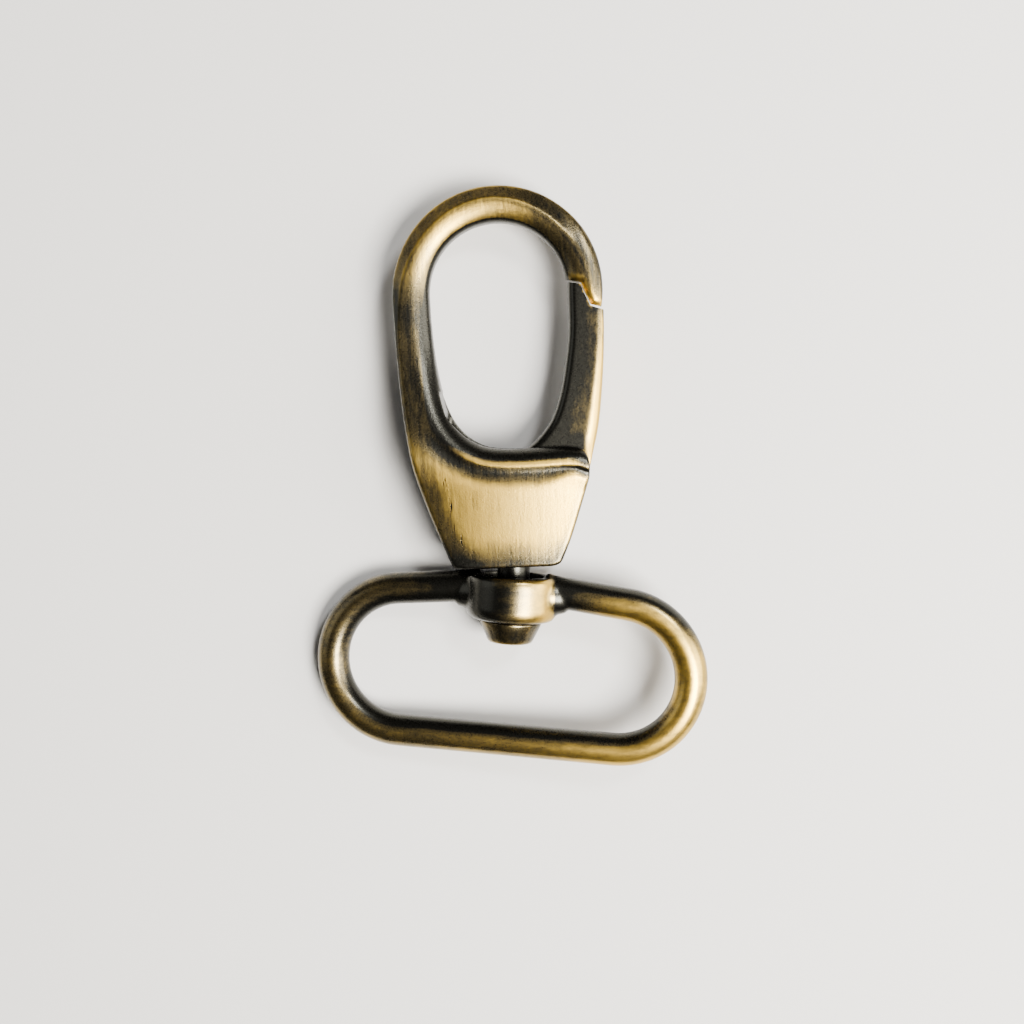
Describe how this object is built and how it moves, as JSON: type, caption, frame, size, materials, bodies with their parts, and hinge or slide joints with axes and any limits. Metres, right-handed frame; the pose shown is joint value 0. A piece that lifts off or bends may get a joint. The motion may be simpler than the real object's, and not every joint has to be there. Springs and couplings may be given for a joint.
{
  "type": "swivel snap hook",
  "caption": "Push-gate snap hook with a round eye and a hollow base, on a loose swivel post that carries an oval loop for a strap.",
  "frame": {"origin": "centre of the flat back of the base, on which the hook lies", "axes": "+Y up the hook from the base to the eye; +X towards the gate; +Z out of the front of the hook"},
  "size_m": [0.0458, 0.067, 0.0096],
  "materials": {
    "body_brass": "antique brass plate: near-black patina in the hollows, brushed to brass on the crowns",
    "gate_brass": "antique brass plate, darker, worn bright along its outer edge",
    "loop_brass": "antique brass plate, dark on the inner side, relieved on the crowns",
    "post_metal": "dark antiqued rivet, satin",
    "pin_steel": "plain ground pin",
    "spring_steel": "bright spring wire"
  },
  "bodies": {
    "hook": {"hook_body": "body_brass", "gate_pin": "pin_steel", "gate_spring": "spring_steel"},
    "gate": {"gate": "gate_brass"},
    "post": {"swivel_post": "post_metal"},
    "loop": {"strap_loop": "loop_brass"}
  },
  "joints": [
    {"name": "gate_hinge", "type": "hinge", "parent": "hook", "child": "gate", "pos_m": [0.0046, 0.0016, 0.0044], "axis": [0, 0, 1], "range_deg": [0, 34], "stiffness_Nm_per_rad": 0.02, "springref_deg": -20.05, "deforming": ["gate_spring"]},
    {"name": "post_rock", "type": "hinge", "parent": "hook", "child": "post", "pos_m": [0.0004, -0.0047, 0.0044], "axis": [0, 0, 1], "range_deg": [0, 11]},
    {"name": "loop_swivel", "type": "hinge", "parent": "post", "child": "loop", "pos_m": [0.0004, -0.0047, 0.0044], "axis": [0.0958, 0.9954, 0], "continuous": true}
  ]
}
